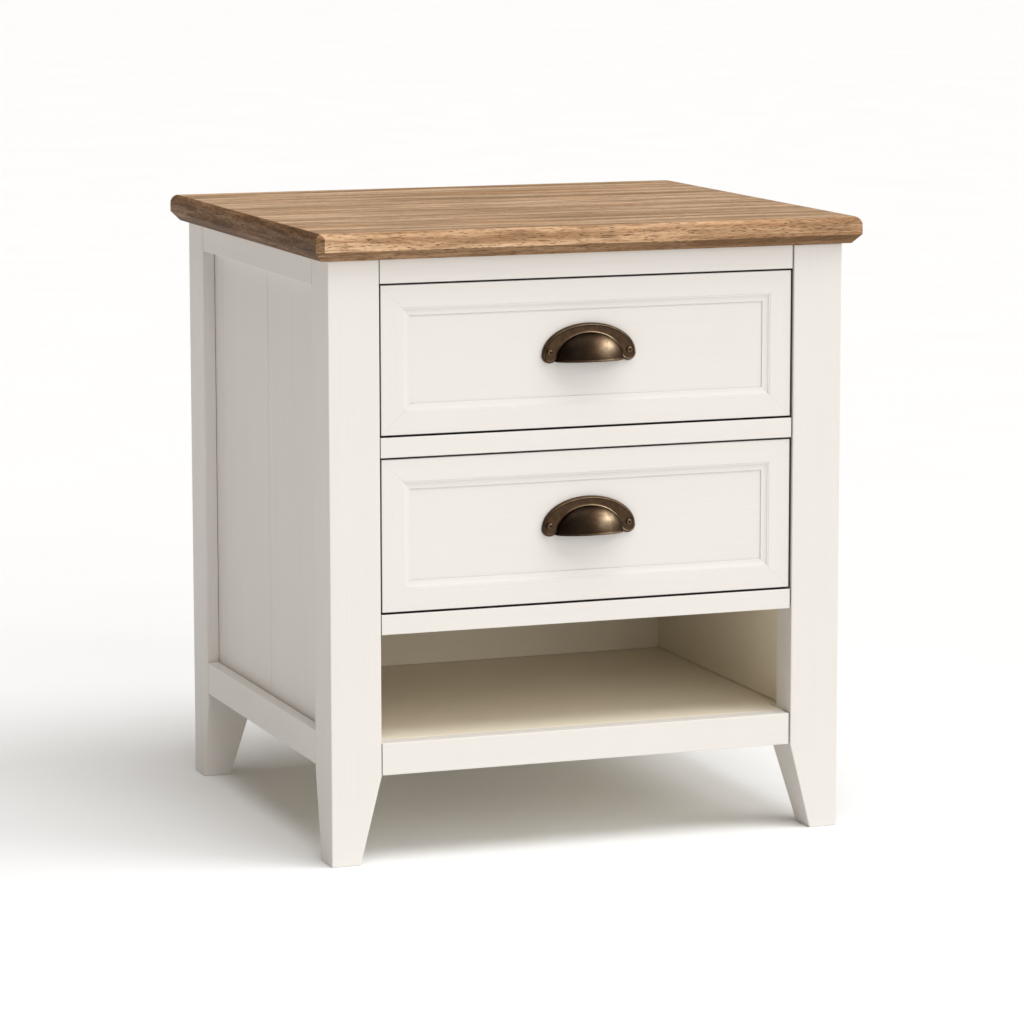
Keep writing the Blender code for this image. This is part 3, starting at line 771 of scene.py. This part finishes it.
def notches(node):
    """Cutters where a board is notched round the posts that it meets."""
    low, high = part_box(node)
    tools = []
    for end_word, end in ENDS:
        for word, side in SIDES:
            post_low, post_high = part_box(f"post_{end_word}_{word}")
            if post_low.y > high.y or post_high.y < low.y:
                continue
            reach = Vector((JOINT, JOINT, 1))
            back = post_high.y
            if node == "shelf_ceiling":
                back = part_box(f"{word}_shelf_wall")[0].y
            corner_high = Vector((post_high.x, back, 0)) + reach
            tools.append(block(f"{node}_{end_word}_{word}", post_low - reach, corner_high))
    return tools


# ---------------------------------------------------------------- drawer fronts


def arc(centre, radius, start, end, steps):
    """Points of an arc, angles in degrees."""
    made = []
    for step in range(steps + 1):
        angle = math.radians(start + (end - start) * step / steps)
        made.append((centre[0] + radius * math.cos(angle), centre[1] + radius * math.sin(angle)))
    return made


def frame_section(depth, tongue, field_depth, field_thickness):
    """Section of a drawer-front member: (inwards across the face, back from the face)."""
    points = arc((FRAME_SOFT, FRAME_SOFT), FRAME_SOFT, 180, 270, 5)
    points += [(FRAME_FLAT - 0.15 * MM, 0.0), (FRAME_FLAT - 0.02 * MM, 0.08 * MM)]
    for step in range(6):
        t = step / 5
        back = BEAD_DEPTHS[0] + (BEAD_DEPTHS[1] - BEAD_DEPTHS[0]) * t * t
        points.append((FRAME_FLAT + 0.05 * MM + BEAD * t, back))
    points.append((points[-1][0] + 0.06 * MM, COVE_DEPTHS[0]))
    start = points[-1]
    end = (FRAME_WIDTH - 0.8 * MM, COVE_DEPTHS[1])
    for step in range(1, 11):
        t = step / 10
        cove = 1 - (1 - t) ** 2
        points.append((start[0] + (end[0] - start[0]) * t, start[1] + (end[1] - start[1]) * cove))
    lip = field_depth - LIP_DROP
    points.append((FRAME_WIDTH - 0.15 * MM, COVE_DEPTHS[1] + 0.02 * MM))
    points.append((FRAME_WIDTH - 0.03 * MM, COVE_DEPTHS[1] + 0.12 * MM))
    points.append((FRAME_WIDTH, lip))
    groove = FRAME_WIDTH - tongue - JOINT
    behind = field_depth + field_thickness + 0.1 * MM
    points += [(groove, lip), (groove, behind), (FRAME_WIDTH, behind)]
    points += [(FRAME_WIDTH, depth - CRISP), (FRAME_WIDTH - CRISP, depth)]
    points += [(CRISP, depth), (0.0, depth - CRISP)]
    return points


def make_front_member(node, half_length, outer_edge, turn, centre, section, half_width):
    """Sweep the section, mitre both ends and turn the member to its side of the front."""
    bm = bmesh.new()
    rings = []
    count = 24
    for step in range(count + 1):
        share = 2 * step / count - 1
        ring = []
        for inward, back in section:
            reach = half_length - inward - MITRE / 2
            ring.append(bm.verts.new((share * reach, back, inward - outer_edge)))
        rings.append(ring)
    size = len(section)
    for one, two in zip(rings, rings[1:]):
        for i in range(size):
            k = (i + 1) % size
            bm.faces.new((one[i], one[k], two[k], two[i]))
    bm.faces.new(rings[0])
    bm.faces.new(rings[-1])
    bmesh.ops.rotate(bm, verts=bm.verts, matrix=Matrix.Rotation(turn, 3, "Y"))
    bmesh.ops.translate(bm, verts=bm.verts, vec=centre)
    obj = link(f"{node}_member", mesh_from(bm, node))
    set_grain(obj, "X" if abs(math.cos(turn)) > 0.5 else "Z")
    shade(obj, 50)

    # Painted shade: the outer side faces of the side members, in the gaps beside the posts, get the
    # dark gap tone
    def in_gap(face):
        return abs(face.normal.x) > FACING and abs(face.center.x) > half_width - 0.01 * MM

    darken(obj, in_gap)
    stand_in(obj, node, PAINT, GAP_SHADE_EDGE)


def make_front(word):
    """Four mitred members round a flat panel."""
    low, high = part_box(f"{word}_front_top")
    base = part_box(f"{word}_front_bottom")[0]
    panel_low, panel_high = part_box(f"{word}_front_panel")
    half_width = high.x
    half_height = (high.z - base.z) / 2
    centre = Vector((0, low.y, (high.z + base.z) / 2))
    field_depth = panel_low.y - low.y
    tongue = panel_high.x - (half_width - FRAME_WIDTH)
    section = frame_section(high.y - low.y, tongue, field_depth, panel_high.y - panel_low.y)
    members = (
        ("bottom", half_width, half_height, 0),
        ("left", half_height, half_width, 90),
        ("top", half_width, half_height, 180),
        ("right", half_height, half_width, 270),
    )
    for place, half_length, outer_edge, turn in members:
        node = f"{word}_front_{place}"
        turn = math.radians(turn)
        make_front_member(node, half_length, outer_edge, turn, centre, section, half_width)
    board(f"{word}_front_panel", "X", PAINT, FIELD_EDGE)


# ---------------------------------------------------------------- drawer boxes and runners


def make_box(word):
    """Sides, back and bottom of a drawer, with the bottom let into grooves."""
    low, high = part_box(f"{word}_box_bottom")
    for name, side in SIDES:
        node = f"{word}_box_{name}"
        groove_low = (low.x - JOINT, -1, low.z - JOINT)
        tool = block(f"{node}_groove", groove_low, (high.x + JOINT, 1, high.z + JOINT))
        board(node, "Y", BIRCH, EDGE, tools=[tool])
    board(f"{word}_box_back", "X", BIRCH, CRISP)
    board(f"{word}_box_bottom", "Y", BIRCH, FIELD_EDGE)


def make_runner(node, web):
    """A rolled channel along Y with screw slots; its web faces -X or +X."""
    low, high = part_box(node)
    wall, bend = CHANNEL_WALL, CHANNEL_BEND
    width, half = high.x - low.x, (high.z - low.z) / 2
    outer = [(width, -half)] + arc((bend, bend - half), bend, 270, 180, 5)
    outer += arc((bend, half - bend), bend, 180, 90, 5) + [(width, half)]
    inside = bend - wall
    inner = [(width, half - wall)] + arc((bend, half - bend), inside, 90, 180, 5)
    inner += arc((bend, bend - half), inside, 180, 270, 5) + [(width, wall - half)]
    face = high.x if web > 0 else low.x
    middle = (low.z + high.z) / 2
    bm = bmesh.new()
    ends = []
    for y in (low.y, high.y):
        ring = [bm.verts.new((face - web * u, y, middle + v)) for u, v in outer + inner]
        bm.faces.new(ring)
        ends.append(ring)
    for i in range(len(ends[0])):
        k = i - 1
        bm.faces.new((ends[0][i], ends[1][i], ends[1][k], ends[0][k]))
    obj = link(f"{node}_channel", mesh_from(bm, node))
    cutters = bmesh.new()
    for place in CHANNEL_SLOTS:
        slot = (face, (low.y + high.y) / 2 + place * (high.y - low.y), middle)
        slot_low = [centre - half for centre, half in zip(slot, SLOT_HALF)]
        slot_high = [centre + half for centre, half in zip(slot, SLOT_HALF)]
        add_block(cutters, slot_low, slot_high)
    slots = link(f"{node}_slots", mesh_from(cutters, node))
    ease(slots, 2.1 * MM, 4)
    carve(obj, slots)
    settle(obj, slots)
    shade(obj)
    stand_in(obj, node, ZINC)


def make_runners(word):
    """Three nested members a side; only the drawer's own member has its web inwards."""
    for name, side in SIDES:
        for member, way in (("fixed", 1), ("middle", 1), ("inner", -1)):
            make_runner(f"{word}_runner_{member}_{name}", way * side)


# ---------------------------------------------------------------- pulls


class PullPlate:
    """The flat part of a cup pull, measured from the middle of its lip: outline and relief."""

    def __init__(self, half_width, height):
        self.a = half_width
        self.b = height - EAR_Z

    def inside_rim(self, x, z):
        """Distance from a point to the outline, where it's near."""
        ear = EAR_RADIUS - math.hypot(abs(x) - EAR_X, z - EAR_Z)
        rise = z - EAR_Z
        if rise < 0:
            turn = math.degrees(math.atan2(EAR_X - abs(x), -rise))
            return ear + 4 * MM * smooth_step(60, 90, turn)
        value = (x / self.a) ** 2 + (rise / self.b) ** 2
        slope = 2 * math.hypot(x / self.a ** 2, rise / self.b ** 2)
        return (1 - value) / max(slope, 1e-6)

    def outside_cup(self, x, z):
        value = (x / CUP[0]) ** 2 + (z / CUP[2]) ** 2
        slope = 2 * math.hypot(x / CUP[0] ** 2, z / CUP[2] ** 2)
        return (value - 1) / max(slope, 1e-6)

    def reach(self, angle):
        """Distance of the outline from the middle of the lip, at an angle above the lip."""
        cos, sin = abs(math.cos(angle)), math.sin(angle)
        along = EAR_X * cos + EAR_Z * sin
        miss = EAR_X * sin - EAR_Z * cos
        ear = 0.0
        if abs(miss) < EAR_RADIUS:
            ear = along + math.sqrt(EAR_RADIUS ** 2 - miss ** 2)
        p = (cos / self.a) ** 2 + (sin / self.b) ** 2
        q = -2 * sin * EAR_Z / self.b ** 2
        r = (EAR_Z / self.b) ** 2 - 1
        root = math.sqrt(max(q * q - 4 * p * r, 0))
        arch = (-q + root) / (2 * p)
        if arch * sin < EAR_Z:
            arch = 0.0
        return max(ear, arch)

    def relief(self, x, z):
        """Height of the face above the recess: a rounded rim, and a ridge round the cup."""
        rim = max(self.inside_rim(x, z), 0.0)
        if rim < RIM_CREST:
            climb = math.sqrt(max(1 - (1 - rim / RIM_CREST) ** 2, 0))
            return BORDER + (PLATE - BORDER) * climb - (PLATE - PLATE_RECESS)
        rim_height = PLATE_RECESS * (1 - smooth_step(RIM_CREST, RIM_WIDTH, rim))
        ridge = self.outside_cup(x, z)
        ridge_height = PLATE_RECESS * (1 - smooth_step(0.5 * MM, 1.7 * MM, ridge))
        return max(rim_height, ridge_height)

    def wear_with_highlight(self, x, z, height):
        """Brown in the recess, and polished on the crests; the extra shine at the upper right of the
        rim and on the right of the ridge is a painted highlight.
        """
        # Painted highlight: the shine rises towards the upper right
        worn_and_highlight = 0.04 + 0.22 * smooth_step(-20 * MM, 45 * MM, x + z)
        if self.outside_cup(x, z) < 2 * MM:
            worn_and_highlight = 0.10 + 0.80 * smooth_step(-20 * MM, 20 * MM, x)
        return 0.13 + worn_and_highlight * smooth_step(0.6, 1.0, height / PLATE_RECESS)


def cup_levels():
    """Heights of the cup's rings as shares of its height: dense at the lip for its bead."""
    lip = [0.0, 0.35, 0.7, 1.05, 1.4, 1.75, 2.1, 2.45, 2.8, 3.2, 3.7, 4.4]
    levels = [value * MM / CUP[2] for value in lip]
    first = math.asin(levels[-1])
    steps = 22
    for step in range(1, steps + 1):
        levels.append(math.sin(first + (math.pi / 2 - first) * step / steps))
    return levels


def lip_bead(height):
    """How far the rolled lip stands proud of the cup at a height above its edge."""
    roll = 0.0
    if height < 2.2 * MM:
        roll = 0.55 * MM * math.sqrt(max(1 - (height / (1.1 * MM) - 1) ** 2, 0))
    groove = -0.12 * MM * math.exp(-((height - 2.6 * MM) / (0.35 * MM)) ** 2)
    return roll + groove


def dome_wear_and_highlight(x, height, roll):
    """Patina on the left, a polished lip, and a painted highlight: a bright patch on the right, where
    fingers also close, and shine that grows towards the right.
    """
    patch = math.exp(-((x - 18 * MM) / (10.5 * MM)) ** 2 - ((height - 14 * MM) / (9 * MM)) ** 2)
    painted_light_to_right = smooth_step(-20 * MM, 25 * MM, x)
    lip = smooth_step(0.3 * MM, 0.6 * MM, roll)
    return 0.02 + 0.05 * painted_light_to_right + 0.74 * patch + lip * (0.05 + 0.35 * painted_light_to_right)


def make_pull(word):
    """Plate, ears, ridge and hollow cup in one closed mesh."""
    node = f"{word}_pull"
    low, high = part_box(node)
    lip = low.z + LOBE_DROP
    plate = PullPlate(high.x, high.z - lip)
    back = high.y
    bm = bmesh.new()
    wear_and_highlight = bm.verts.layers.float.new("wear_and_highlight")

    def vert(x, out, z, shine):
        made = bm.verts.new((x, back - out, lip + z))
        made[wear_and_highlight] = shine
        return made

    levels = cup_levels()
    base = PLATE - PLATE_RECESS + 0.7 * PLATE_RECESS

    def cup_rings(shrink, bead):
        """Half rings across the cup from right to left, one for each level."""
        a, d, h = (value - shrink for value in CUP)
        rings = []
        for level in levels:
            wide = math.sqrt(max(1 - level * level, 0))
            extra = lip_bead(level * CUP[2]) if bead else 0.0
            ring = []
            for step in range(CUP_TURNS + 1):
                t = math.pi * step / CUP_TURNS
                x = (a * wide + extra) * math.cos(t)
                out = (d * wide + extra) * math.sin(t)
                shine = 0
                if bead:
                    out += base * (1 - math.sin(t))
                    shine = dome_wear_and_highlight(x, level * h, extra)
                ring.append(vert(x, out, level * h, shine))
            rings.append(ring)
        return rings

    outer = cup_rings(0.0, True)
    inner = cup_rings(CUP_WALL, False)
    for rings, flip in ((outer, False), (inner, True)):
        for below, above in zip(rings, rings[1:]):
            for i in range(CUP_TURNS):
                quad = (below[i], below[i + 1], above[i + 1], above[i])
                bm.faces.new(reversed(quad) if flip else quad)
    for i in range(CUP_TURNS):
        bm.faces.new((outer[0][i], inner[0][i], inner[0][i + 1], outer[0][i + 1]))

    # Rows of the plate run outwards from each end of each cup ring
    edge = [(ring[0], ring_in[0]) for ring, ring_in in zip(outer, inner)]
    edge += [(ring[-1], ring_in[-1]) for ring, ring_in in zip(outer[-2::-1], inner[-2::-1])]
    rows = []
    for front, hollow in edge:
        x0, z0 = front.co.x, front.co.z - lip
        angle = math.atan2(z0, x0)
        reach = plate.reach(angle)
        start = math.hypot(x0, z0)
        row = [front]
        for share in PLATE_STEPS[1:]:
            r = start + (reach - start) * share
            x, z = r * math.cos(angle), r * math.sin(angle)
            height = plate.relief(x, z)
            row.append(vert(x, PLATE - PLATE_RECESS + height, z, plate.wear_with_highlight(x, z, height)))
        rim = row[-1].co
        row.append(vert(rim.x, 0.0, rim.z - lip, 0.1))
        row.append(vert(hollow.co.x, 0.0, hollow.co.z - lip, 0.0))
        row.append(hollow)
        rows.append(row)

    def lobe_row(side, share):
        """A row that follows the ear's bottom below the lip, at a share of its drop."""
        row = []
        start = outer[0][0].co.x
        end = plate.reach(0.0)
        for step in PLATE_STEPS:
            x = start + (end - start) * step
            drop = math.sqrt(max(EAR_RADIUS ** 2 - (x - EAR_X) ** 2, EAR_Z ** 2)) - EAR_Z
            z = -drop * share
            height = plate.relief(x, z)
            row.append(vert(side * x, PLATE - PLATE_RECESS + height, z, 0.10))
        row.append(vert(side * end, 0.0, 0.0, 0.1))
        row.append(vert(side * start, 0.0, row[0].co.z - lip, 0.0))
        row.append(vert(side * start, 0.5 * PLATE, row[0].co.z - lip, 0.0))
        return row

    right = [lobe_row(1, share) for share in LOBE_STEPS]
    rows = right + rows + [lobe_row(-1, share) for share in LOBE_STEPS[::-1]]
    for index, (one, two) in enumerate(zip(rows, rows[1:])):
        for i in range(len(one) - 1):
            bm.faces.new((one[i], two[i], two[i + 1], one[i + 1]))
        if index < len(right) or index >= len(rows) - 1 - len(right):
            bm.faces.new((one[-1], two[-1], two[0], one[0]))
    for row in (rows[0], rows[-1]):
        bm.faces.new(row)
    bmesh.ops.remove_doubles(bm, verts=bm.verts, dist=0.00002)
    obj = link(f"{node}_casting", mesh_from(bm, node))
    obj.data.shade_smooth()
    obj.data.set_sharp_from_angle(angle=math.radians(50))
    stand_in(obj, node, BRONZE)


def make_screw(node):
    """A round-headed screw with a cross recess."""
    low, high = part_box(node)
    centre = (low + high) / 2
    radius = (high.x - low.x) / 2
    head = SCREW_DOME
    front = low.y
    profile = [(0.0, 0.0)]
    for step in range(1, 9):
        angle = math.radians(step * 90 / 8)
        profile.append((radius * math.sin(angle), head * (1 - math.cos(angle))))
    shank = radius / 2
    profile += [(radius, head + 0.1 * MM), (shank, head + 0.12 * MM)]
    profile.append((shank, high.y - front - SCREW_TIP))
    profile.append((0.0, high.y - front))
    bm = bmesh.new()
    rings = []
    count = 28
    for r, back in profile:
        ring = []
        for step in range(count if r > 0 else 1):
            angle = 2 * math.pi * step / count
            x, z = centre.x + r * math.cos(angle), centre.z + r * math.sin(angle)
            ring.append(bm.verts.new((x, front + back, z)))
        rings.append(ring)
    for one, two in zip(rings, rings[1:]):
        for i in range(count):
            k = (i + 1) % count
            corners = [one[i % len(one)], one[k % len(one)], two[k % len(two)], two[i % len(two)]]
            bm.faces.new(list(dict.fromkeys(corners)))
    obj = link(f"{node}_head", mesh_from(bm, node))
    tools = []
    for turn in (0, 90):
        slot = bmesh.new()
        verts = add_block(slot, (-1.45 * MM, -1, -0.28 * MM), (1.45 * MM, 0.75 * MM, 0.28 * MM))
        bmesh.ops.rotate(slot, verts=verts, matrix=Matrix.Rotation(math.radians(turn + 20), 3, "Y"))
        bmesh.ops.translate(slot, verts=verts, vec=(centre.x, front, centre.z))
        tools.append(link(f"{node}_slot_{turn}", mesh_from(slot, node)))
    carve(obj, *tools)
    settle(obj, *tools)
    layer = obj.data.attributes.new("wear_and_highlight", "FLOAT", "POINT")
    for item, vert in zip(layer.data, obj.data.vertices):
        off = math.hypot(vert.co.x - centre.x, vert.co.z - centre.z) / radius
        item.value = 0.30 * smooth_step(0.2, 0.6, off)
    obj.data.shade_smooth()
    obj.data.set_sharp_from_angle(angle=math.radians(35))
    stand_in(obj, node, BRONZE)


# ---------------------------------------------------------------- studio


def aim(azimuth, elevation):
    """Unit vector towards a place in degrees: azimuth from the front towards +X, and elevation."""
    azimuth, elevation = math.radians(azimuth), math.radians(elevation)
    level = math.cos(elevation)
    return Vector((math.sin(azimuth) * level, -math.cos(azimuth) * level, math.sin(elevation)))


def add_sun(name, azimuth, elevation, energy, spread):
    light = bpy.data.lights.new(name, "SUN")
    light.energy = energy
    light.angle = math.radians(spread)
    sun = bpy.data.objects.new(name, light)
    bpy.context.scene.collection.objects.link(sun)
    sun.rotation_mode = "QUATERNION"
    sun.rotation_quaternion = aim(azimuth, elevation).to_track_quat("Z", "Y")


def make_studio():
    centre = (CAD_BOX[0] + CAD_BOX[1]) / 2
    bpy.ops.mesh.primitive_plane_add(size=160, location=(0, 0, CAD_BOX[0].z))
    floor = bpy.context.object
    floor.name = "floor"
    floor.data.materials.append(floor_finish())

    world = bpy.data.worlds.new("studio")
    bpy.context.scene.world = world
    world.use_nodes = True
    backdrop = world.node_tree.nodes["Background"]
    backdrop.inputs["Color"].default_value = SKY
    backdrop.inputs["Strength"].default_value = SKY_STRENGTH
    for name, azimuth, elevation, energy, spread in SUNS:
        add_sun(name, azimuth, elevation, energy, spread)

    lens = bpy.data.cameras.new("camera")
    lens.lens = LENS
    lens.sensor_width = 36
    lens.clip_end = 300
    camera = bpy.data.objects.new("camera", lens)
    bpy.context.scene.collection.objects.link(camera)
    back = aim(*VIEW)
    camera.location = centre + VIEW_OFFSET + back * VIEW_DISTANCE
    camera.rotation_mode = "QUATERNION"
    roll = Quaternion((0, 0, 1), math.radians(VIEW_ROLL))
    camera.rotation_quaternion = back.to_track_quat("Z", "Y") @ roll
    bpy.context.scene.camera = camera
    bpy.context.scene.view_settings.view_transform = "Standard"


make_carcass()
for drawer in DRAWERS:
    make_front(drawer)
    make_box(drawer)
    make_runners(drawer)
    make_pull(drawer)
    for side_name, _ in SIDES:
        make_screw(f"{drawer}_screw_{side_name}")
make_studio()
